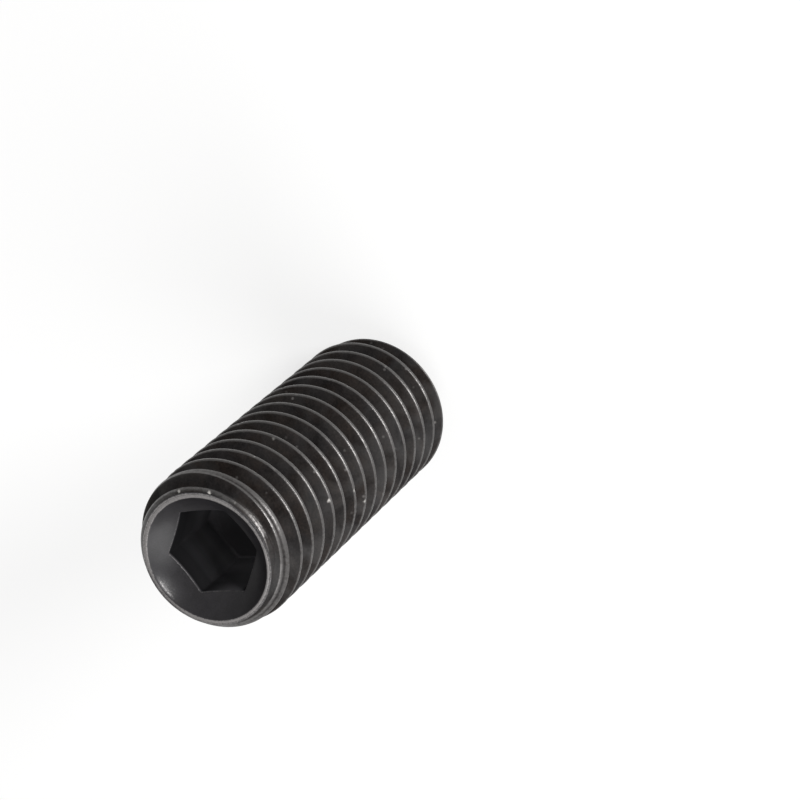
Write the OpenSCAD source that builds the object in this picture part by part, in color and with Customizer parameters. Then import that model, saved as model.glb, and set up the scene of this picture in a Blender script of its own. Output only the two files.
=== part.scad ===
// Cup point grub set screw with a metric thread and a hex socket.
// It stands on the rim of its cup, with the socket up and its axis on +Z.

/* [Thread] */
// Nominal diameter, over the crests of the thread
thread_d = 10; // [9:0.1:14]
// Distance from one crest to the next
pitch = 1.5; // [1:0.05:1.75]
// Way the thread winds
thread_hand = "left"; // [left, right]
// How far below the socket end the first crest passes at the front
first_crest = 1.08; // [0.4:0.01:1.6]

/* [Body] */
// Overall length, from cup rim to socket end
length = 25; // [18:0.5:60]

/* [Socket] */
// Width across the flats of the hex socket
socket_af = 5.1; // [4:0.1:5.5]
// Depth of the flats below the socket end
socket_depth = 6; // [3:0.1:8]
// Full angle of the drill point below the flats
socket_tip_angle = 120; // [100:1:150]
// Diameter of the countersink at the socket end
countersink_d = 7.7; // [7:0.1:8]
// Full angle of the countersink
countersink_angle = 100; // [70:1:130]

/* [Socket end] */
// Width of the flat ring around the countersink
end_land = 0.3; // [0.1:0.05:0.4]
// Slope of the chamfer down from the flat ring
end_chamfer_angle = 53; // [30:1:60]

/* [Cup point] */
// Diameter of the cup at its mouth
cup_d = 6.6; // [5:0.1:7.6]
// Full angle of the cup
cup_angle = 120; // [90:1:140]
// Width of the flat on the rim of the cup
cup_land = 0.12; // [0.05:0.01:0.3]
// Slope of the chamfer up from the rim of the cup
point_angle = 45; // [30:1:60]

/* [Hidden] */

// Flank angle and proportions of the 60 degree metric thread
flank_angle = 30;
sharp_height = pitch / (2 * tan(flank_angle));
thread_depth = sharp_height * 17 / 24;
crest_w = pitch / 8;
groove_w = pitch - crest_w;
root_w = pitch / 6;

// How far the groove cutter stands proud of the crests
cutter_proud = 0.1;
cutter_mouth_w = groove_w + 2 * cutter_proud * tan(flank_angle);

crest_r = thread_d / 2;
root_r = crest_r - thread_depth;

countersink_r = countersink_d / 2;
countersink_depth = countersink_r / tan(countersink_angle / 2);
end_land_r = countersink_r + end_land;
end_chamfer_h = (crest_r - end_land_r) * tan(end_chamfer_angle);

cup_r = cup_d / 2;
cup_depth = cup_r / tan(cup_angle / 2);
cup_land_r = cup_r + cup_land;
point_h = (crest_r - cup_land_r) * tan(point_angle);

socket_r = socket_af / (2 * cos(30));
socket_tip_r = socket_af / 2;
socket_tip_h = socket_tip_r / tan(socket_tip_angle / 2);

// Cutters reach this far past the face that they open
overcut = 1;
body_facets = 96;
steps_per_turn = 48;

// The groove's centre line starts below the cup rim and ends above the socket end
front_angle = -90;
hand = thread_hand == "left" ? -1 : 1;
turns_down = ceil((length - first_crest) / pitch) + 1;
turns_up = ceil(first_crest / pitch) + 1;
groove_start_z = length - first_crest - pitch / 2 - turns_down * pitch;
groove_steps = steps_per_turn * (turns_down + turns_up);

module blank() {
    // Half section of the turned body, without its holes and its groove
    rotate_extrude($fn = body_facets)
        polygon([
            [0, 0],
            [cup_land_r, 0],
            [crest_r, point_h],
            [crest_r, length - end_chamfer_h],
            [end_land_r, length],
            [0, length]
        ]);
}

module cup() {
    rotate_extrude($fn = body_facets)
        polygon([
            [0, -overcut],
            [cup_r, -overcut],
            [cup_r, 0],
            [0, cup_depth]
        ]);
}

module countersink() {
    translate([0, 0, length])
        rotate_extrude($fn = body_facets)
            polygon([
                [0, overcut],
                [countersink_r, overcut],
                [countersink_r, 0],
                [0, -countersink_depth]
            ]);
}

module hex_socket() {
    translate([0, 0, length - socket_depth])
        linear_extrude(socket_depth + overcut)
            circle(r = socket_r, $fn = 6);
    translate([0, 0, length - socket_depth])
        rotate_extrude($fn = body_facets)
            polygon([
                [0, 0],
                [socket_tip_r, 0],
                [0, -socket_tip_h]
            ]);
}

// Corner of the cutter at one step along the helix, from its radius and its height
function helix_point(step, r, rise) =
    let (turn = step / steps_per_turn, angle = front_angle + hand * 360 * turn)
    [r * cos(angle), r * sin(angle), groove_start_z + pitch * turn + rise];

function groove_section(step) = [
    helix_point(step, crest_r + cutter_proud, cutter_mouth_w / 2),
    helix_point(step, crest_r + cutter_proud, -cutter_mouth_w / 2),
    helix_point(step, root_r, -root_w / 2),
    helix_point(step, root_r, root_w / 2)
];

// Triangle with its outside kept outside for either hand of thread
function facing(a, b, c) = hand > 0 ? [c, b, a] : [a, b, c];

module thread_groove() {
    corners = 4;
    last = groove_steps * corners;
    points = [for (step = [0:groove_steps]) each groove_section(step)];
    sides = [
        for (step = [0:groove_steps - 1], k = [0:corners - 1])
            let (
                a = step * corners + k,
                b = step * corners + (k + 1) % corners,
                c = b + corners,
                d = a + corners
            )
            each [facing(a, b, c), facing(a, c, d)]
    ];
    ends = [
        facing(2, 1, 0),
        facing(3, 2, 0),
        facing(last, last + 1, last + 2),
        facing(last, last + 2, last + 3)
    ];
    polyhedron(points, concat(sides, ends));
}

module set_screw() {
    color([0.17, 0.165, 0.17])
        difference() {
            blank();
            cup();
            countersink();
            hex_socket();
            thread_groove();
        }
}

set_screw();
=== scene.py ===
import math
import random

import bmesh
import bpy
from mathutils import Matrix, Vector, kdtree, noise


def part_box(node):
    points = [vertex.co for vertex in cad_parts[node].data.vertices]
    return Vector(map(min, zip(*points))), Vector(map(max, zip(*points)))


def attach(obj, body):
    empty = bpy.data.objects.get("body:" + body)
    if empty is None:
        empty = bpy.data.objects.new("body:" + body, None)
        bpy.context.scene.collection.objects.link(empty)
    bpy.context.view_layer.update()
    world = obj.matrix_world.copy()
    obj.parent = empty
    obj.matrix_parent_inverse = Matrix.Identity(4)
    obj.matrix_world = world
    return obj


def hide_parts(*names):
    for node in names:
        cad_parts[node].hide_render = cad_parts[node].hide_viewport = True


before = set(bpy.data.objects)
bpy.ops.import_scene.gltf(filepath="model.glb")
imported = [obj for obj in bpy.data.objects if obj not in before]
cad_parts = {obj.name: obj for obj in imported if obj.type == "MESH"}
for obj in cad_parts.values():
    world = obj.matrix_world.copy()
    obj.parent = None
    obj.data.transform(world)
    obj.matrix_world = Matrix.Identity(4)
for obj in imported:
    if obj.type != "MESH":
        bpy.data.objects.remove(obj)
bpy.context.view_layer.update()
screwLow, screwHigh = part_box("set_screw")
length = screwHigh.z - screwLow.z
crestRadius = (screwHigh.x - screwLow.x) / 2
mm = 0.001
frontAngle = math.radians(-90)

# Thread, measured down from the socket end at the front of the screw
threadPlan = {
    "pitch": 1.5 * mm,
    "hand": -1,  # -1 winds left, 1 winds right
    "firstCrest": 1.08 * mm,
    "depth": 0.92 * mm,
    "crestFlats": 8,  # crest flats that a pitch would hold
    "flankAngle": 30,
    "crestRound": 0.11 * mm,
    "rootRound": 0.16 * mm,
    "runoutRound": 0.03 * mm,
    "seamDepth": 0.07 * mm,
    "seamTop": (0.25 * mm, 0.5 * mm),  # below the socket end
    "seamBottom": (2 * mm, 3 * mm),  # above the cup rim
    "cutFade": 0.15 * mm,  # half a crest that is this much wider counts as cut
    "waviness": 0.008 * mm,
    "waves": ((1.3, 0.6), (4.1, 0.4)),  # waves in a millimetre, and their share
}

# Socket end: chamfer, flat ring and countersink
endPlan = {
    "countersinkRadius": 3.86 * mm,
    "bowlSlope": 1.18,
    "bowlCurve": 0.32 / mm,
    "bowlShift": Vector((-0.12, 0.06)) * mm,  # the countersink sits a little beside the thread's axis
    "chamferRadius": 4.13 * mm,
    "chamferSlope": 53,
    "chamferShift": Vector((-0.09, 0.06)) * mm,
    "shoulderRound": 0.60 * mm,
    "edgeRound": 0.05 * mm,
    "broachEdge": 0.04 * mm,
    "lineFromMouth": 0.20 * mm,  # a fine turned line round the flat ring
    "lineHalf": 0.025 * mm,
    "lineDepth": 0.02 * mm,
    "lineMargin": 0.03 * mm,
    "lipDepth": 0.33 * mm,  # how far down the chamfer reaches before the first groove opens
    "lipSides": (-150, -115),
}

socketPlan = {
    "acrossFlats": 5.1 * mm,
    "depth": 6.0 * mm,
    "cornerRound": 0.07 * mm,
    "floorRound": 0.12 * mm,
    "drillSlope": 30,
}

cupPlan = {
    "radius": 3.3 * mm,
    "land": 0.12 * mm,
    "slope": 30,
    "tipShare": 0.94,  # the very tip is blunt
    "chamferSlope": 45,
    "shoulderRound": 0.10 * mm,
    "rimRound": 0.045 * mm,
}

# Rows of the thread: a few across half a crest, one beside it, and the rest down to the root.
# Shares say where the rings of a surface lie, between its edge and its middle
meshPlan = {
    "columns": 192,
    "crestSteps": 3,
    "flankSteps": 8,
    "flankSpread": 1.25,  # above 1, the rows lie closer towards the root
    "lip": 0.05 * mm,  # from a crest's edge to the row beside it
    "leastRoot": 0.1 * mm,  # stays of half a groove where a crest is cut wide
    "snap": 0.012 * mm,  # rows nearer than this to an end join its ring
    "turnsAbove": 2,  # turns that are laid out above the first crest
    "rimPoints": 4,
    "hexEdgeShares": (0.33, 0.67, 1),
    "floorShares": (0.3, 0.7, 1),
    "drillShares": (0.97, 0.75, 0.45, 0.15),
    "cupShares": (0.05, 0.25, 0.5, 0.75, 0.9),
}

crestFlat = threadPlan["pitch"] / threadPlan["crestFlats"]
rootRadius = crestRadius - threadPlan["depth"]
landRadius = endPlan["chamferRadius"]
rimRadius = cupPlan["radius"] + cupPlan["land"]
columns = meshPlan["columns"]
crestSteps = meshPlan["crestSteps"]
halfTurnRows = crestSteps + 1 + meshPlan["flankSteps"]
rowsPerTurn = 2 * halfTurnRows


def mix(a, b, share):
    return a + (b - a) * share


def softMin(a, b, blend):
    overlap = max(blend - abs(a - b), 0) / blend
    return min(a, b) - overlap * overlap * blend / 4


def softMax(a, b, blend):
    return -softMin(-a, -b, blend)


def fadeIn(start, full, value):
    share = min(max((value - start) / (full - start), 0), 1)
    return share * share * (3 - 2 * share)


def patchShare(patch, side):
    # 1 between two sides of the screw, with soft ends
    start, full, fade, end = patch
    return fadeIn(start, full, side) * (1 - fadeIn(fade, end, side))


def tanDegrees(angle):
    return math.tan(math.radians(angle))


def sideOf(angle):
    # Degrees round the screw, from -180 to 180, where -90 is the front
    return math.degrees(angle + math.pi) % 360 - 180


def sideOfPoint(point):
    return math.degrees(math.atan2(point.y, point.x))


def sideShift(shift, angle):
    # How far a circle moved by this shift stands out on this side
    return shift.x * math.cos(angle) + shift.y * math.sin(angle)


def turnedRadius(height, angle):
    # The turned body's outside, which cuts the thread off at both ends
    edge = landRadius + sideShift(endPlan["chamferShift"], angle)
    topCone = edge + (length - height) / tanDegrees(endPlan["chamferSlope"])
    pointCone = rimRadius + height / tanDegrees(cupPlan["chamferSlope"])
    topSide = softMin(crestRadius, topCone, endPlan["shoulderRound"])
    pointSide = softMin(crestRadius, pointCone, cupPlan["shoulderRound"])
    return min(topSide, pointSide)


def crestHalves(height, angle):
    # Half widths of a crest's flat, above and below its middle: wider where a cone has cut it down
    flank = 1 / tanDegrees(threadPlan["flankAngle"])
    endCone = 1 / tanDegrees(endPlan["chamferSlope"])
    pointCone = 1 / tanDegrees(cupPlan["chamferSlope"])
    tip = crestRadius + crestFlat / 2 * flank
    edge = landRadius + sideShift(endPlan["chamferShift"], angle)
    endCut = tip - edge - (length - height) * endCone
    pointCut = tip - rimRadius - height * pointCone
    above = max(crestFlat / 2, endCut / (flank - endCone), pointCut / (flank + pointCone))
    below = max(crestFlat / 2, endCut / (flank + endCone), pointCut / (flank - pointCone))
    widest = threadPlan["pitch"] / 2 - meshPlan["lip"] - meshPlan["leastRoot"]
    return min(above, widest), min(below, widest)


def stepGap(step, half):
    # Distance of a row from the middle of its crest
    lip = meshPlan["lip"]
    if step <= crestSteps:
        return half * step / crestSteps
    share = (step - crestSteps - 1) / meshPlan["flankSteps"]
    return half + lip + (threadPlan["pitch"] / 2 - half - lip) * (1 - (1 - share) ** meshPlan["flankSpread"])


def cutShare(half):
    # 1 where a cone has clearly cut this crest wider
    return fadeIn(0, threadPlan["cutFade"], half - crestFlat / 2)


def threadRadius(gap, half, height, angle):
    turned = turnedRadius(height, angle)
    slope = tanDegrees(threadPlan["flankAngle"])
    flank = crestRadius - (gap - crestFlat / 2) / slope
    ridge = softMin(crestRadius, flank, threadPlan["crestRound"])
    radius = softMax(rootRadius, ridge, threadPlan["rootRound"])
    blend = min(threadPlan["runoutRound"], crestRadius - turned)
    radius = softMin(radius, turned, blend) if blend > 0 else radius
    # The first groove opens a little below the end face
    side = sideOf(angle)
    if side < 0:
        lip = endPlan["lipDepth"] * fadeIn(*endPlan["lipSides"], side)
        radius = max(radius, turned - max(length - height - lip, 0) / slope)
    # A crest that the rolling didn't fill keeps a shallow seam along its middle
    if gap < half:
        seam = threadPlan["seamDepth"] * cutShare(half)
        seam *= fadeIn(*threadPlan["seamTop"], length - height) * fadeIn(*threadPlan["seamBottom"], height)
        radius -= seam * (1 - (gap / half) ** 2) ** 2
    spot = Vector((math.cos(angle) * radius, math.sin(angle) * radius, height)) / mm
    roll = sum(noise.noise(spot * scale) * share for scale, share in threadPlan["waves"])
    return radius - threadPlan["waviness"] * (0.5 + 0.5 * roll)


# Wear on the crests: 0 keeps the oxide and 1 is rubbed bright. The rub patch is partly a painted highlight
# where the key light's reflection falls, and the shade patches beside it are painted shade. Pairs run from
# the socket end inwards
crestWear = {
    "inside": (0.25 * mm, 0.55 * mm),
    "middle": (0.36, 0.28),
    "lips": (0.60, 1.00),
    "lipSharpness": 4.5,
    "beside": 0.3,
    "rub": 0.5,
    "sheenRubSides": (-118, -98, -86, -60),
    "paintedShadeFront": 0.32,
    "paintedShadeFrontSides": (-84, -68, -56, -40),
    "paintedShadeBack": 0.45,
    "paintedShadeBackSides": (120, 180, 232, 254),
}


def wearOfCrest(step, half, height, angle):
    # Bright wear: all of a full crest, and mostly the two lips of one that a cone cuts
    plan = crestWear
    side = sideOf(angle)
    inside = fadeIn(*plan["inside"], length - height)
    cut = cutShare(half)
    # Painted shade: full crests are less bright on the sides beside the key highlight
    dull = plan["paintedShadeBack"] * patchShare(plan["paintedShadeBackSides"], side if side > 0 else side + 360)
    dull += plan["paintedShadeFront"] * patchShare(plan["paintedShadeFrontSides"], side)
    dull *= 1 - cut
    # Partly a painted highlight: more rubbed metal near the socket end, where the key light's reflection
    # falls
    rubbedAndSheen = plan["rub"] * (1 - inside) * patchShare(plan["sheenRubSides"], side)
    if step == crestSteps + 1:
        return rubbedAndSheen + plan["beside"] * (1 - dull)
    if step > crestSteps:
        return rubbedAndSheen
    middle = mix(*plan["middle"], inside) + rubbedAndSheen
    lips = mix(middle, mix(*plan["lips"], inside), (step / crestSteps) ** plan["lipSharpness"])
    return (1 - cut * (1 - lips)) * (1 - dull)


def bend(before, corner, after, reach, count):
    # This many points of a rounded corner, from before's side to after's side
    start = corner + (before - corner).normalized() * reach
    end = corner + (after - corner).normalized() * reach
    return [curvePoint(start, corner, end, step / (count - 1)) for step in range(count)]


def curvePoint(start, corner, end, share):
    return start.lerp(corner, share).lerp(corner.lerp(end, share), share)


def hexRadius(angle):
    # Distance from the axis to the hex wall, with a corner on +X and corners slightly rounded
    flat = socketPlan["acrossFlats"] / 2
    turn = math.degrees(angle) % 60
    first = flat / math.cos(math.radians(turn - 30))
    beside = flat / math.cos(math.radians(turn + 30 if turn < 30 else turn - 90))
    return softMin(first, beside, socketPlan["cornerRound"])


class ScrewMesh:
    # Collects rings of points, how worn each point is (in the socket, the grey of its painted shade; on the
    # crests and countersink, partly painted highlight and shade), and the faces between them
    def __init__(self):
        self.points = []
        self.worn = []
        self.faces = []
        self.zones = []

    def addPoint(self, radius, angle, height, worn=0.0):
        self.points.append(Vector((radius * math.cos(angle), radius * math.sin(angle), height)))
        self.worn.append(worn)
        return len(self.points) - 1

    def addRing(self, outline, worn=0.0):
        # outline gives the radius and the height at an angle
        ring = []
        for column in range(columns):
            angle = frontAngle + math.tau * column / columns
            radius, height = outline(angle)
            ring.append(self.addPoint(radius, angle, height, worn))
        return ring

    def addFace(self, corners, zone):
        kept = [corner for place, corner in enumerate(corners) if corner != corners[place - 1]]
        if len(set(kept)) >= 3:
            self.faces.append(kept)
            self.zones.append(zone)

    def joinRings(self, first, second, zone):
        for column in range(columns):
            beside = (column + 1) % columns
            self.addFace([first[column], first[beside], second[beside], second[column]], zone)
        return second

    def closeRing(self, ring, height, zone):
        tip = self.addPoint(0, 0, height, self.worn[ring[0]])
        for column in range(columns):
            self.addFace([ring[column], ring[(column + 1) % columns], tip], zone)


threadZone, endZone, socketZone, cupZone = range(4)


def threadRow(screw, row, topRing, bottomRing):
    # One row of the thread, which follows the helix once round and ends in the rings at both ends
    pitch = threadPlan["pitch"]
    topHeight = screw.points[topRing[0]].z - meshPlan["snap"]
    bottomHeight = screw.points[bottomRing[0]].z + meshPlan["snap"]
    turn, step = divmod(row, rowsPerTurn)
    below = step <= halfTurnRows
    if not below:
        turn, step = turn + 1, rowsPerTurn - step
    ids = []
    for column in range(columns):
        around = column / columns
        angle = frontAngle + math.tau * around
        crest = length - threadPlan["firstCrest"] + threadPlan["hand"] * pitch * around - pitch * turn
        half = crestHalves(crest, angle)[1 if below else 0]
        gap = stepGap(step, half)
        height = crest - gap if below else crest + gap
        if height >= topHeight:
            ids.append(topRing[column])
        elif height <= bottomHeight:
            ids.append(bottomRing[column])
        else:
            radius = threadRadius(gap, half, height, angle)
            ids.append(screw.addPoint(radius, angle, height, wearOfCrest(step, half, height, angle)))
    return ids


def addThread(screw, topRing, bottomRing):
    firstRow = -meshPlan["turnsAbove"] * rowsPerTurn
    lastRow = rowsPerTurn * (math.ceil(length / threadPlan["pitch"]) + 1)
    rows = {row: threadRow(screw, row, topRing, bottomRing) for row in range(firstRow, lastRow + 1)}

    def corner(row, column):
        if column == columns:  # once round, the helix has moved on by a turn
            row -= threadPlan["hand"] * rowsPerTurn
            column = 0
        if row < firstRow:
            return topRing[column]
        if row > lastRow:
            return bottomRing[column]
        return rows[row][column]

    for row in range(firstRow - rowsPerTurn, lastRow + rowsPerTurn):
        inRange = firstRow <= row < lastRow
        for column in range(columns) if inRange else [columns - 1]:
            corners = [
                corner(row, column),
                corner(row, column + 1),
                corner(row + 1, column + 1),
                corner(row + 1, column),
            ]
            screw.addFace(corners, threadZone)


# Wear of the socket end, from the outside in. Sides are degrees round the screw, with -90 at the front
endWear = {
    "outerEdge": (0.2, 0.3, 0.4, 0.5),
    "line": (0.62, 0.3, 0.68),
    "mouthEdge": (0.68, 0.57, 0.46, 0.35, 0.24),
    "bowl": ((0.05, 0.12), (0.15, 0), (0.35, 0), (0.55, 0), (0.75, 0), (0.92, 0), (1, 0.15)),
    "hexEdge": 0.32,
    "dull": ((0.3, (62, 80, 104, 124)), (0.25, (-124, -108, -76, -60))),
    # A rubbed patch on the countersink that is partly a painted highlight, where the key light's reflection
    # falls
    "rub": 0.27,
    "sheenRubSides": (66, 86, 96, 110),
    "sheenRubReach": (0.15, 0.75),
}


def dullRing(screw, ring):
    # The flat ring is less rubbed at the front and on one side of the back
    for index in ring:
        side = sideOfPoint(screw.points[index])
        screw.worn[index] *= 1 - sum(least * patchShare(sides, side) for least, sides in endWear["dull"])


def rubAndSheenBowl(screw, ring, share):
    # A rubbed patch on the countersink at the back, strongest at the mouth: partly real wear, partly a
    # painted highlight where the key light's reflection falls
    for index in ring:
        patch = patchShare(endWear["sheenRubSides"], sideOfPoint(screw.points[index]))
        screw.worn[index] += endWear["rub"] * patch * (1 - fadeIn(*endWear["sheenRubReach"], share))


def addEndRing(screw):
    # The flat ring: the chamfer's edge, a fine turned line, and the mouth of the countersink
    landWidth = crestRadius - landRadius
    chamferSide = Vector((crestRadius, length - landWidth * tanDegrees(endPlan["chamferSlope"])))
    landEdge = Vector((landRadius, length))
    mouth = Vector((endPlan["countersinkRadius"], length))
    bowlSide = mouth - Vector((1, endPlan["bowlSlope"])) * mm
    reach = endPlan["edgeRound"]
    chamferShift, bowlShift = endPlan["chamferShift"], endPlan["bowlShift"]

    def edgeRing(point, shift, worn):
        return screw.addRing(lambda angle: (point.x + sideShift(shift, angle), point.y), worn)

    def lineRing(place, worn):
        def outlineAt(angle):
            besideMouth = mouth.x + sideShift(bowlShift, angle) + endPlan["lineFromMouth"]
            besideEdge = landRadius + sideShift(chamferShift, angle) - reach - endPlan["lineMargin"]
            radius = min(besideMouth, besideEdge) + place * endPlan["lineHalf"]
            return radius, length - (0 if place else endPlan["lineDepth"])
        return screw.addRing(outlineAt, worn)

    outerEdge = bend(chamferSide, landEdge, mouth, reach, len(endWear["outerEdge"]))
    mouthEdge = bend(landEdge, mouth, bowlSide, reach, len(endWear["mouthEdge"]))
    rings = [edgeRing(point, chamferShift, worn) for point, worn in zip(outerEdge, endWear["outerEdge"])]
    rings += [lineRing(place, worn) for place, worn in zip((1, 0, -1), endWear["line"])]
    rings += [edgeRing(point, bowlShift, worn) for point, worn in zip(mouthEdge, endWear["mouthEdge"])]
    for ring in rings:
        dullRing(screw, ring)
    for first, second in zip(rings, rings[1:]):
        screw.joinRings(first, second, endZone)
    return rings[0], rings[-1], mouthEdge[-1].x


def bowlPoint(radius, angle):
    # The countersink at this radius: a cone that flattens towards the hex
    inward = endPlan["countersinkRadius"] + sideShift(endPlan["bowlShift"], angle) - radius
    return Vector((radius, length - endPlan["bowlSlope"] * inward + endPlan["bowlCurve"] * inward * inward))


def addBowl(screw, last, mouthRadius):
    # The countersink, from its mouth down to the rounded edge of the hex
    edge = endPlan["broachEdge"]

    def bowlRing(share):
        def outlineAt(angle):
            start = mouthRadius + sideShift(endPlan["bowlShift"], angle)
            return tuple(bowlPoint(mix(start, hexRadius(angle) + edge, share), angle))
        return outlineAt

    def hexEdgeRing(share):
        def outlineAt(angle):
            start = bowlPoint(hexRadius(angle) + edge, angle)
            corner = bowlPoint(hexRadius(angle), angle)
            return tuple(curvePoint(start, corner, corner - Vector((0, edge)), share))
        return outlineAt

    for share, worn in endWear["bowl"]:
        ring = screw.addRing(bowlRing(share), worn)
        rubAndSheenBowl(screw, ring, share)
        last = screw.joinRings(last, ring, endZone)
    for share in meshPlan["hexEdgeShares"]:
        last = screw.joinRings(last, screw.addRing(hexEdgeRing(share), endWear["hexEdge"]), endZone)
    return last


# Painted shade of the socket: greys of its walls at shares of their depth, then its floor and drill point.
# Sides as above
socketPaintedShade = {
    "walls": ((0.03, 0.02), (0.25, 0.06), (0.5, 0.27), (0.75, 0.75), (0.96, 0.65), (1, 0.6)),
    "floor": 0.36,
    "drill": 0.34,
    "less": (0.6, (-15, 15, 45, 95)),  # painted darker on the side where the light comes in
    # painted lighter on the sides past these
    "more": (0.4, (92, 118)),
    "mouth": (0.35, (120, 165, 172, 180)),  # painted lighter at the mouth on these sides, and nothing at the floor
}


def paintWallShade(screw, ring, share, grey):
    # Painted shade: the walls are greyer with depth, least where the light comes in and more at the mouth
    # beside it
    for index in ring:
        side = sideOfPoint(screw.points[index])
        less, lessSides = socketPaintedShade["less"]
        more, moreSides = socketPaintedShade["more"]
        mouth, mouthSides = socketPaintedShade["mouth"]
        level = 1 - less * patchShare(lessSides, side) + more * fadeIn(*moreSides, side)
        screw.worn[index] = min(grey * level + mouth * patchShare(mouthSides, side) * (1 - share), 1)


def addSocket(screw, last):
    # Hex walls, a small round to the floor, and the drill point
    floorHeight = length - socketPlan["depth"]
    floorRound = socketPlan["floorRound"]
    drillRadius = socketPlan["acrossFlats"] / 2 - 2 * floorRound
    fall = tanDegrees(socketPlan["drillSlope"])

    def wallRing(share):
        def outlineAt(angle):
            top = bowlPoint(hexRadius(angle), angle).y - endPlan["broachEdge"]
            return hexRadius(angle), mix(top, floorHeight + floorRound, share)
        return outlineAt

    def floorRing(share):
        def outlineAt(angle):
            return mix(hexRadius(angle), drillRadius, share), floorHeight + floorRound * (1 - share) ** 2
        return outlineAt

    def drillRing(share):
        return lambda angle: (drillRadius * share, floorHeight - drillRadius * (1 - share) * fall)

    for share, grey in socketPaintedShade["walls"]:
        ring = screw.addRing(wallRing(share))
        paintWallShade(screw, ring, share, grey)
        last = screw.joinRings(last, ring, socketZone)
    for share in meshPlan["floorShares"]:
        last = screw.joinRings(last, screw.addRing(floorRing(share), socketPaintedShade["floor"]), socketZone)
    for share in meshPlan["drillShares"]:
        last = screw.joinRings(last, screw.addRing(drillRing(share), socketPaintedShade["drill"]), socketZone)
    screw.closeRing(last, floorHeight - drillRadius * fall, socketZone)


def addSocketEnd(screw):
    outerRing, mouthRing, mouthRadius = addEndRing(screw)
    hexEdge = addBowl(screw, mouthRing, mouthRadius)
    addSocket(screw, hexEdge)
    return outerRing


# Wear of the cup end: the bright rim, and the chamfer that is turned after the rolling
cupWear = {"rim": 0.9, "turned": 0.26, "turnedEdge": (0.03 * mm, 0.12 * mm), "turnedTop": 0.8}


def addCupEnd(screw):
    # Point chamfer edge, narrow rim and cup, from the outside in
    rim = Vector((rimRadius, 0))
    chamferSide = rim + Vector((1, tanDegrees(cupPlan["chamferSlope"]))) * mm
    mouth = Vector((cupPlan["radius"], 0))
    cupDepth = cupPlan["radius"] * tanDegrees(cupPlan["slope"])
    cupTip = Vector((0, cupDepth))
    edges = bend(chamferSide, rim, mouth, cupPlan["rimRound"], meshPlan["rimPoints"])
    edges += bend(rim, mouth, cupTip, cupPlan["rimRound"], meshPlan["rimPoints"])
    face = [mouth.lerp(cupTip, share) for share in meshPlan["cupShares"]]
    rings = [screw.addRing(lambda angle: tuple(point), cupWear["rim"]) for point in edges]
    rings += [screw.addRing(lambda angle: tuple(point)) for point in face]
    for first, second in zip(rings, rings[1:]):
        screw.joinRings(first, second, cupZone)
    screw.closeRing(rings[-1], cupDepth * cupPlan["tipShare"], cupZone)
    return rings[0]


# Nicks: side in degrees, distance below the socket end, width and depth in millimetres, and brightness
nickPlan = {
    "placed": [
        (-53.8, 7.03, 0.24, 0.08, 0.25),
        (-114.6, 6.73, 0.20, 0.06, 0.5),
        (-122.7, 9.97, 0.22, 0.06, 0.6),
        (-137.5, 11.31, 0.20, 0.05, 0.4),
        (-47.5, 0.18, 0.18, 0.03, 0.8),
        (-18.0, 0.14, 0.18, 0.03, 0.6),
        (-70.0, 0.12, 0.16, 0.03, 0.25),
    ],
    "strayCount": 60,
    "strayCrests": (1, 15),
    "strayWidth": (0.10, 0.18),
    "strayDepth": (0.01, 0.045),
    "strayBright": (0.0, 0.3),
    "strayOffset": (-0.06, 0.06),  # beside the crest's middle
    "seed": 11,
}


def scatterNicks():
    # More nicks on the crests, after the placed ones
    draw = random.Random(nickPlan["seed"])
    pitch = threadPlan["pitch"] / mm
    nicks = list(nickPlan["placed"])
    for _ in range(nickPlan["strayCount"]):
        side = draw.uniform(-180, 180)
        crest = draw.randint(*nickPlan["strayCrests"])
        below = threadPlan["firstCrest"] / mm - threadPlan["hand"] * pitch * (side + 90) / 360 + crest * pitch
        width = draw.uniform(*nickPlan["strayWidth"])
        depth = draw.uniform(*nickPlan["strayDepth"])
        bright = draw.uniform(*nickPlan["strayBright"])
        nicks.append((side, below + draw.uniform(*nickPlan["strayOffset"]), width, depth, bright))
    return nicks


def addNicks(screw, threadPoints):
    # Small knocks push the crests in and lay the steel bare
    tree = kdtree.KDTree(len(threadPoints))
    for index in threadPoints:
        tree.insert(screw.points[index], index)
    tree.balance()
    bare = [0.0] * len(screw.points)
    for side, below, width, depth, bright in scatterNicks():
        angle = math.radians(side)
        height = length - below * mm
        radius = turnedRadius(height, angle)
        centre = tree.find(Vector((radius * math.cos(angle), radius * math.sin(angle), height)))[0]
        inward = Vector((-math.cos(angle), -math.sin(angle), 0))
        for _, index, away in tree.find_range(centre, width * mm):
            share = (1 - (away / (width * mm)) ** 2) ** 2
            screw.points[index] += inward * depth * mm * share
            bare[index] = max(bare[index], share * bright)
    return bare


def turnPoint(screw, bare):
    # The chamfer of the point is turned after the rolling, so its steel is lighter
    top = crestRadius - rimRadius
    for index, point in enumerate(screw.points):
        if point.z < top:
            inside = turnedRadius(point.z, 0) - math.hypot(point.x, point.y)
            turned = 1 - fadeIn(*cupWear["turnedEdge"], inside)
            turned *= 1 - fadeIn(cupWear["turnedTop"] * top, top, point.z)
            bare[index] = max(bare[index], cupWear["turned"] * turned)


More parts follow.
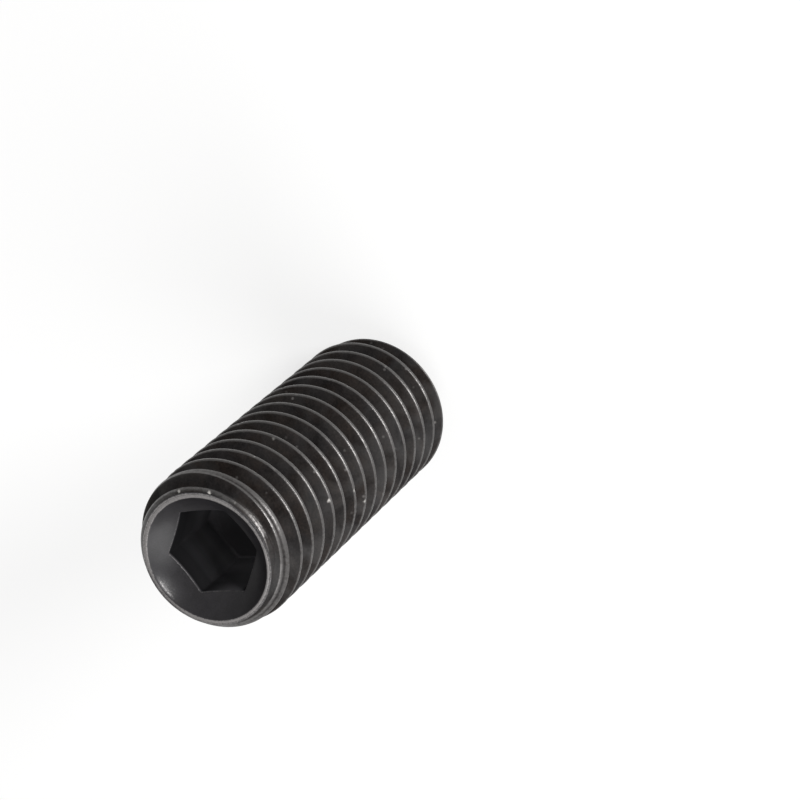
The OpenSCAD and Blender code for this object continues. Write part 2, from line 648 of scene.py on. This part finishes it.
def buildScrew():
    screw = ScrewMesh()
    topRing = addSocketEnd(screw)
    bottomRing = addCupEnd(screw)
    threadStart = len(screw.points)
    addThread(screw, topRing, bottomRing)
    bare = addNicks(screw, range(threadStart, len(screw.points)))
    turnPoint(screw, bare)
    mesh = bpy.data.meshes.new("screwBody")
    mesh.from_pydata(screw.points, [], screw.faces)
    mesh.polygons.foreach_set("material_index", screw.zones)
    mesh.polygons.foreach_set("use_smooth", [True] * len(screw.faces))
    mesh.attributes.new("bareSteel", "FLOAT", "POINT").data.foreach_set("value", bare)
    # Wear, painted highlight and shade patches, and the socket's painted shade
    mesh.attributes.new("wornSteelAndPaintedLight", "FLOAT", "POINT").data.foreach_set("value", screw.worn)
    shape = bmesh.new()
    shape.from_mesh(mesh)
    bmesh.ops.recalc_face_normals(shape, faces=shape.faces)
    shape.to_mesh(mesh)
    shape.free()
    mesh.validate()
    body = bpy.data.objects.new("screwBody", mesh)
    bpy.context.scene.collection.objects.link(body)
    return body


def addNode(tree, kind, place, values=None, **settings):
    # place is only where the node sits in the editor
    node = tree.nodes.new(kind)
    node.location = place
    for name, value in settings.items():
        setattr(node, name, value)
    for socket, value in (values or {}).items():
        node.inputs[socket].default_value = value
    return node


def addRange(tree, place, fromRange, toRange=(0, 1), **settings):
    values = {"From Min": fromRange[0], "From Max": fromRange[1], "To Min": toRange[0], "To Max": toRange[1]}
    return addNode(tree, "ShaderNodeMapRange", place, values, **settings)


def addColorMix(tree, place, values=None, **settings):
    return addNode(tree, "ShaderNodeMix", place, values, data_type="RGBA", **settings)


def newGroup(name, inputs, outputs):
    tree = bpy.data.node_groups.new(name, "ShaderNodeTree")
    for label, kind, value in inputs:
        socket = tree.interface.new_socket(name=label, in_out="INPUT", socket_type=kind)
        socket.default_value = value
    for label, kind in outputs:
        tree.interface.new_socket(name=label, in_out="OUTPUT", socket_type=kind)
    return tree, addNode(tree, "NodeGroupInput", (-900, 0)), addNode(tree, "NodeGroupOutput", (700, 0))


# Contrast and the like say which part of a noise is stretched from 0 to 1
oxidePlan = {
    "grain": {"Detail": 5, "Roughness": 0.7},
    "patch": {"Detail": 3, "Distortion": 0.6},
    "grainShare": 0.65,  # the wider patches have the rest
    "contrast": (0.36, 0.66),
}


def buildOxideGroup():
    # Black oxide skin: a fine flaky grain over wider, slightly warm patches
    tree, entry, result = newGroup("oxideSkin", [
        ("Dark", "NodeSocketColor", (0.008, 0.0075, 0.007, 1)),
        ("Light", "NodeSocketColor", (0.03, 0.027, 0.025, 1)),
        ("Grain", "NodeSocketFloat", 9000),
        ("Patch", "NodeSocketFloat", 900),
    ], [("Color", "NodeSocketColor"), ("Mask", "NodeSocketFloat")])
    place = addNode(tree, "ShaderNodeTexCoord", (-900, 250))
    share = oxidePlan["grainShare"]
    grain = addNode(tree, "ShaderNodeTexNoise", (-600, 200), oxidePlan["grain"])
    patch = addNode(tree, "ShaderNodeTexNoise", (-600, -100), oxidePlan["patch"])
    blend = addNode(tree, "ShaderNodeMath", (-350, 100), {1: share}, operation="MULTIPLY_ADD")
    patchPart = addNode(tree, "ShaderNodeMath", (-350, -120), {1: 1 - share}, operation="MULTIPLY")
    spread = addRange(tree, (-150, 100), oxidePlan["contrast"])
    color = addColorMix(tree, (150, 100))
    link = tree.links.new
    link(place.outputs["Object"], grain.inputs["Vector"])
    link(place.outputs["Object"], patch.inputs["Vector"])
    link(entry.outputs["Grain"], grain.inputs["Scale"])
    link(entry.outputs["Patch"], patch.inputs["Scale"])
    link(patch.outputs["Fac"], patchPart.inputs[0])
    link(grain.outputs["Fac"], blend.inputs[0])
    link(patchPart.outputs[0], blend.inputs[2])
    link(blend.outputs[0], spread.inputs["Value"])
    link(spread.outputs["Result"], color.inputs["Factor"])
    link(entry.outputs["Dark"], color.inputs["A"])
    link(entry.outputs["Light"], color.inputs["B"])
    link(color.outputs["Result"], result.inputs["Color"])
    link(spread.outputs["Result"], result.inputs["Mask"])
    return tree


wearPlan = {
    "cloud": {"Detail": 4, "Roughness": 0.65},
    "edge": (0.22, 0.72),
    "contrast": (0.36, 0.60),
}


def buildWearAndLightGroup():
    # Bright wear where the mesh says so, with a ragged edge and a soft unevenness. What the mesh says holds
    # painted highlight and shade patches too
    tree, entry, result = newGroup("edgeWearAndPaintedLight", [
        ("Breakup", "NodeSocketFloat", 5200),
        ("Ragged", "NodeSocketFloat", 0.5),
        ("Least", "NodeSocketFloat", 0.45),
    ], [("Mask", "NodeSocketFloat")])
    place = addNode(tree, "ShaderNodeTexCoord", (-1100, -100))
    wornPlace = addNode(tree, "ShaderNodeAttribute", (-600, 350), attribute_name="wornSteelAndPaintedLight")
    cloud = addNode(tree, "ShaderNodeTexNoise", (-850, -100), wearPlan["cloud"])
    centred = addNode(tree, "ShaderNodeMath", (-600, 50), {1: 0.5}, operation="SUBTRACT")
    ragged = addNode(tree, "ShaderNodeMath", (-400, 200), operation="MULTIPLY_ADD")
    edge = addRange(tree, (-150, 250), wearPlan["edge"], interpolation_type="SMOOTHSTEP")
    spread = addRange(tree, (-400, -150), wearPlan["contrast"])
    both = addNode(tree, "ShaderNodeMath", (200, 100), operation="MULTIPLY")
    link = tree.links.new
    link(place.outputs["Object"], cloud.inputs["Vector"])
    link(entry.outputs["Breakup"], cloud.inputs["Scale"])
    link(cloud.outputs["Fac"], centred.inputs[0])
    link(centred.outputs[0], ragged.inputs[0])
    link(entry.outputs["Ragged"], ragged.inputs[1])
    link(wornPlace.outputs["Fac"], ragged.inputs[2])
    link(ragged.outputs[0], edge.inputs["Value"])
    link(cloud.outputs["Fac"], spread.inputs["Value"])
    link(entry.outputs["Least"], spread.inputs["To Min"])
    link(edge.outputs["Result"], both.inputs[0])
    link(spread.outputs["Result"], both.inputs[1])
    link(both.outputs[0], result.inputs["Mask"])
    return tree


stainPlan = {
    "warm": (1.19, 0.98, 0.88, 1),
    "cool": (0.98, 0.97, 1.05, 1),
    "patchScale": 480,
    "patch": {"Detail": 4, "Distortion": 0.8},
    "contrast": (0.36, 0.62),
    "shine": (0.38, 0.62),
    "speckScale": 1000,
    "speckEdge": (0.13, 0.03),  # from the rim of a speck to its middle
    "speckCount": (0.2, 0.95),  # specks drawn below the first are left out
}


def buildStainGroup():
    # The oxide drifts between warm and cool and from dull to shiny, and dust sits on it in specks
    tree, entry, result = newGroup("oxideStain", [
        ("Warm", "NodeSocketColor", stainPlan["warm"]),
        ("Cool", "NodeSocketColor", stainPlan["cool"]),
        ("Patch", "NodeSocketFloat", stainPlan["patchScale"]),
        ("Speck", "NodeSocketFloat", stainPlan["speckScale"]),
    ], [("Tint", "NodeSocketColor"), ("Shine", "NodeSocketFloat"), ("Dust", "NodeSocketFloat")])
    place = addNode(tree, "ShaderNodeTexCoord", (-1100, 0))
    patch = addNode(tree, "ShaderNodeTexNoise", (-650, 250), stainPlan["patch"])
    spread = addRange(tree, (-400, 250), stainPlan["contrast"])
    tint = addColorMix(tree, (-100, 300))
    split = addNode(tree, "ShaderNodeSeparateColor", (-400, 0))
    shine = addRange(tree, (-100, 50), stainPlan["shine"])
    speck = addNode(tree, "ShaderNodeTexVoronoi", (-650, -250))
    size = addRange(tree, (-400, -200), stainPlan["speckEdge"], interpolation_type="SMOOTHSTEP")
    pick = addNode(tree, "ShaderNodeSeparateColor", (-400, -420))
    few = addRange(tree, (-150, -420), stainPlan["speckCount"])
    dust = addNode(tree, "ShaderNodeMath", (150, -250), operation="MULTIPLY")
    link = tree.links.new
    link(place.outputs["Object"], patch.inputs["Vector"])
    link(place.outputs["Object"], speck.inputs["Vector"])
    link(entry.outputs["Patch"], patch.inputs["Scale"])
    link(entry.outputs["Speck"], speck.inputs["Scale"])
    link(patch.outputs["Fac"], spread.inputs["Value"])
    link(spread.outputs["Result"], tint.inputs["Factor"])
    link(entry.outputs["Warm"], tint.inputs["A"])
    link(entry.outputs["Cool"], tint.inputs["B"])
    link(patch.outputs["Color"], split.inputs["Color"])
    link(split.outputs["Green"], shine.inputs["Value"])
    link(speck.outputs["Distance"], size.inputs["Value"])
    link(speck.outputs["Color"], pick.inputs["Color"])
    link(pick.outputs["Red"], few.inputs["Value"])
    link(size.outputs["Result"], dust.inputs[0])
    link(few.outputs["Result"], dust.inputs[1])
    link(tint.outputs["Result"], result.inputs["Tint"])
    link(shine.outputs["Result"], result.inputs["Shine"])
    link(dust.outputs[0], result.inputs["Dust"])
    return tree


oxideGroup = buildOxideGroup()
wearAndLightGroup = buildWearAndLightGroup()
stainGroup = buildStainGroup()


def placeGroup(tree, group, place, values=None):
    return addNode(tree, "ShaderNodeGroup", place, values, node_tree=group)


def steelMaterial(name, specular=None, roughness=None):
    material = bpy.data.materials.new(name)
    material.use_nodes = True
    tree = material.node_tree
    shader = tree.nodes["Principled BSDF"]
    if specular is not None:
        shader.inputs["Specular IOR Level"].default_value = specular
    if roughness is not None:
        shader.inputs["Roughness"].default_value = roughness
    return material, tree, shader


def placeSkin(tree, finish):
    # The oxide skin of this finish, and the mask of where it is worn off
    oxide = {label: finish[label.lower()] for label in ("Dark", "Light", "Grain", "Patch")}
    rub = {label: finish[label.lower()] for label in ("Breakup", "Ragged", "Least")}
    skin = placeGroup(tree, oxideGroup, (-900, 200), oxide)
    wear = placeGroup(tree, wearAndLightGroup, (-900, -100), rub)
    return skin, wear


def placeBump(tree, skin, shader, finish):
    values = {"Distance": finish["bump"], "Strength": finish["bumpStrength"]}
    bump = addNode(tree, "ShaderNodeBump", (-250, -500), values)
    tree.links.new(skin.outputs["Mask"], bump.inputs["Height"])
    tree.links.new(bump.outputs["Normal"], shader.inputs["Normal"])


threadFinish = {
    "dark": (0.0034, 0.0030, 0.0028, 1),
    "light": (0.0180, 0.0157, 0.0144, 1),
    "worn": (0.128, 0.123, 0.121, 1),
    "dust": (0.11, 0.103, 0.10, 1),
    "bare": (0.62, 0.60, 0.57, 1),
    "shine": (0.10, 0.32),  # specular of the dull and of the shiny patches
    "rough": (0.52, 0.36),  # of the oxide and of the metal
    "nickEdge": (0.1, 0.7),
    "nickMetal": 0.6,
    "grain": 8000,
    "patch": 700,
    "breakup": 5200,
    "ragged": 0.30,
    "least": 0.66,
    "bump": 0.012 * mm,
    "bumpStrength": 0.3,
}


def buildThreadMaterial():
    material, tree, shader = steelMaterial("rolledThread")
    skin, wear = placeSkin(tree, threadFinish)
    stain = placeGroup(tree, stainGroup, (-1200, 300))
    tinted = addColorMix(tree, (-700, 350), {"Factor": 1}, blend_type="MULTIPLY")
    dusty = addColorMix(tree, (-600, 200), {"B": threadFinish["dust"]})
    worn = addColorMix(tree, (-500, 200), {"B": threadFinish["worn"]})
    bare = addColorMix(tree, (-250, 200), {"B": threadFinish["bare"]})
    shine = addRange(tree, (-250, 500), (0, 1), threadFinish["shine"])
    nick = addNode(tree, "ShaderNodeAttribute", (-900, -350), attribute_name="bareSteel")
    nickEdge = addRange(tree, (-650, -350), threadFinish["nickEdge"])
    nickShare = {1: threadFinish["nickMetal"]}
    nickMetal = addNode(tree, "ShaderNodeMath", (-450, -200), nickShare, operation="MULTIPLY")
    metal = addNode(tree, "ShaderNodeMath", (-250, -50), operation="MAXIMUM")
    rough = addRange(tree, (-250, -250), (0, 1), threadFinish["rough"])
    link = tree.links.new
    link(skin.outputs["Color"], tinted.inputs["A"])
    link(stain.outputs["Tint"], tinted.inputs["B"])
    link(tinted.outputs["Result"], dusty.inputs["A"])
    link(stain.outputs["Dust"], dusty.inputs["Factor"])
    link(dusty.outputs["Result"], worn.inputs["A"])
    link(wear.outputs["Mask"], worn.inputs["Factor"])
    link(worn.outputs["Result"], bare.inputs["A"])
    link(nick.outputs["Fac"], nickEdge.inputs["Value"])
    link(nickEdge.outputs["Result"], bare.inputs["Factor"])
    link(bare.outputs["Result"], shader.inputs["Base Color"])
    link(stain.outputs["Shine"], shine.inputs["Value"])
    link(shine.outputs["Result"], shader.inputs["Specular IOR Level"])
    link(nickEdge.outputs["Result"], nickMetal.inputs[0])
    link(wear.outputs["Mask"], metal.inputs[0])
    link(nickMetal.outputs[0], metal.inputs[1])
    link(metal.outputs[0], shader.inputs["Metallic"])
    link(metal.outputs[0], rough.inputs["Value"])
    link(rough.outputs["Result"], shader.inputs["Roughness"])
    placeBump(tree, skin, shader, threadFinish)
    return material


def wearToMetal(tree, skin, wear, shader, color):
    # Where the skin is worn off, this colour of bare metal shows
    worn = addColorMix(tree, (-500, 200), {"B": color})
    tree.links.new(skin.outputs["Color"], worn.inputs["A"])
    tree.links.new(wear.outputs["Mask"], worn.inputs["Factor"])
    tree.links.new(worn.outputs["Result"], shader.inputs["Base Color"])
    tree.links.new(wear.outputs["Mask"], shader.inputs["Metallic"])


endFinish = {
    "dark": (0.011, 0.0103, 0.0113, 1),
    "light": (0.024, 0.0224, 0.025, 1),
    "worn": (0.47, 0.451, 0.446, 1),
    "specular": 0.35,
    "rough": 0.34,
    "grain": 12000,
    "patch": 1200,
    "breakup": 9500,
    "ragged": 0.35,
    "least": 0.6,
    "bump": 0.004 * mm,
    "bumpStrength": 0.5,
}


def buildEndMaterial():
    material, tree, shader = steelMaterial("turnedEnd", endFinish["specular"], endFinish["rough"])
    skin, wear = placeSkin(tree, endFinish)
    wearToMetal(tree, skin, wear, shader, endFinish["worn"])
    placeBump(tree, skin, shader, endFinish)
    return material


# Colours of the socket's painted shade, from the mouth to deep down
socketShadeColors = {
    "mouth": (0.005, 0.0049, 0.0054, 1),
    "deep": (0.18, 0.176, 0.188, 1),
    "specular": 0.03,
    "rough": 0.85,
}


def buildSocketMaterial():
    # Painted shade: black at the mouth, where the light comes in, and greyer down in the socket
    material, tree, shader = steelMaterial("broachedSocketPaintedShade", socketShadeColors["specular"], socketShadeColors["rough"])
    grey = addNode(tree, "ShaderNodeAttribute", (-600, 200), attribute_name="wornSteelAndPaintedLight")
    blend = addColorMix(tree, (-350, 200), {"A": socketShadeColors["mouth"], "B": socketShadeColors["deep"]})
    tree.links.new(grey.outputs["Fac"], blend.inputs["Factor"])
    tree.links.new(blend.outputs["Result"], shader.inputs["Base Color"])
    return material


cupFinish = {
    "dark": (0.055, 0.053, 0.052, 1),
    "light": (0.095, 0.091, 0.088, 1),
    "worn": (0.42, 0.41, 0.40, 1),
    "specular": 0.4,
    "rough": 0.38,
    "grain": 9000,
    "patch": 900,
    "breakup": 5200,
    "ragged": 0.5,
    "least": 0.7,
}


def buildCupMaterial():
    material, tree, shader = steelMaterial("cupFace", cupFinish["specular"], cupFinish["rough"])
    skin, wear = placeSkin(tree, cupFinish)
    wearToMetal(tree, skin, wear, shader, cupFinish["worn"])
    return material


floorPlan = {
    "reach": 1.5,
    "gap": 0.005 * mm,  # keeps the floor off the rim's flat
    "color": (0.96, 0.96, 0.955, 1),
    "whiteShare": 0.68,  # the rest is lit paper, which takes the shadow
}


def whiteForViewers(tree, place):
    # 1 where the camera looks, directly, in a reflection or through glass
    path = addNode(tree, "ShaderNodeLightPath", place)
    first = addNode(tree, "ShaderNodeMath", (place[0] + 200, place[1]), operation="MAXIMUM")
    second = addNode(tree, "ShaderNodeMath", (place[0] + 400, place[1]), operation="MAXIMUM")
    tree.links.new(path.outputs["Is Camera Ray"], first.inputs[0])
    tree.links.new(path.outputs["Is Glossy Ray"], first.inputs[1])
    tree.links.new(first.outputs[0], second.inputs[0])
    tree.links.new(path.outputs["Is Transmission Ray"], second.inputs[1])
    return second.outputs[0]


def buildFloor():
    reach = floorPlan["reach"]
    mesh = bpy.data.meshes.new("floor")
    corners = [(-reach, -reach, 0), (reach, -reach, 0), (reach, reach, 0), (-reach, reach, 0)]
    mesh.from_pydata(corners, [], [(0, 1, 2, 3)])
    floor = bpy.data.objects.new("floor", mesh)
    floor.location.z = screwLow.z - floorPlan["gap"]
    bpy.context.scene.collection.objects.link(floor)
    material = bpy.data.materials.new("paleFloor")
    material.use_nodes = True
    tree = material.node_tree
    tree.nodes.clear()
    paper = addNode(tree, "ShaderNodeBsdfDiffuse", (0, 100), {"Color": floorPlan["color"]})
    glow = addNode(tree, "ShaderNodeEmission", (0, -100))
    share = addNode(tree, "ShaderNodeMath", (0, 300), {1: floorPlan["whiteShare"]}, operation="MULTIPLY")
    both = addNode(tree, "ShaderNodeMixShader", (250, 100))
    output = addNode(tree, "ShaderNodeOutputMaterial", (450, 100))
    tree.links.new(whiteForViewers(tree, (-600, 300)), share.inputs[0])
    tree.links.new(share.outputs[0], both.inputs[0])
    tree.links.new(paper.outputs[0], both.inputs[1])
    tree.links.new(glow.outputs[0], both.inputs[2])
    tree.links.new(both.outputs[0], output.inputs["Surface"])
    mesh.materials.append(material)
    return floor


worldPlan = {"fill": 0.42, "fillColor": (1.0, 0.995, 0.99, 1)}


def buildWorld():
    world = bpy.data.worlds.new("studio")
    bpy.context.scene.world = world
    world.use_nodes = True
    fill = world.node_tree.nodes["Background"]
    fill.inputs["Color"].default_value = worldPlan["fillColor"]
    fill.inputs["Strength"].default_value = worldPlan["fill"]


def towards(azimuth, elevation):
    turn, rise = math.radians(azimuth), math.radians(elevation)
    return Vector((math.cos(rise) * math.cos(turn), math.cos(rise) * math.sin(turn), math.sin(rise)))


# Soft boxes: the side they stand on, their height in degrees, distance, size and power
lightPlan = {
    "keyBox": {"azimuth": -99, "elevation": 24, "distance": 0.40, "size": 0.14, "power": 1.35},
    "sideBox": {"azimuth": -171, "elevation": 37, "distance": 0.40, "size": 0.42, "power": 1.30},
}


def buildLights():
    middle = (screwLow + screwHigh) / 2
    for name, plan in lightPlan.items():
        light = bpy.data.lights.new(name, "AREA")
        light.shape = "DISK"
        light.size = plan["size"]
        light.energy = plan["power"]
        box = bpy.data.objects.new(name, light)
        direction = towards(plan["azimuth"], plan["elevation"])
        box.location = middle + direction * plan["distance"]
        box.rotation_euler = direction.to_track_quat("Z", "Y").to_euler()
        box.visible_camera = False
        bpy.context.scene.collection.objects.link(box)


# Camera: where it looks, from which side, and how far it is rolled about its own line of sight
cameraPlan = {
    "lookAt": Vector((-0.285, -6.485, 8.418)) * mm,
    "azimuth": -85.98,
    "elevation": 57.60,
    "roll": -132.02,
    "distance": 174.39 * mm,
    "nearest": 10 * mm,
    "lens": 128.607,
    "sensor": 36,
}


def buildCamera():
    data = bpy.data.cameras.new("camera")
    data.sensor_width = cameraPlan["sensor"]
    data.lens = cameraPlan["lens"]
    data.clip_start = cameraPlan["nearest"]
    camera = bpy.data.objects.new("camera", data)
    back = towards(cameraPlan["azimuth"], cameraPlan["elevation"])
    levelRight = Vector((0, 0, 1)).cross(back).normalized()
    levelUp = back.cross(levelRight)
    roll = math.radians(cameraPlan["roll"])
    right = levelRight * math.cos(roll) + levelUp * math.sin(roll)
    up = back.cross(right)
    turned = Matrix((right, up, back)).transposed().to_4x4()
    camera.matrix_world = Matrix.Translation(cameraPlan["lookAt"] + back * cameraPlan["distance"]) @ turned
    bpy.context.scene.collection.objects.link(camera)
    bpy.context.scene.camera = camera


buildCamera()
print("camera set")
screwBody = buildScrew()
print("screw built,", len(screwBody.data.vertices), "points,", len(screwBody.data.polygons), "faces")
# In the order of the zones: thread, socket end, socket, cup
for material in (buildThreadMaterial(), buildEndMaterial(), buildSocketMaterial(), buildCupMaterial()):
    screwBody.data.materials.append(material)
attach(screwBody, "root")
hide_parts("set_screw")
print("finishes on")
floor = buildFloor()
buildWorld()
buildLights()
print("floor and lights set")

bpy.context.scene.view_settings.view_transform = "Standard"
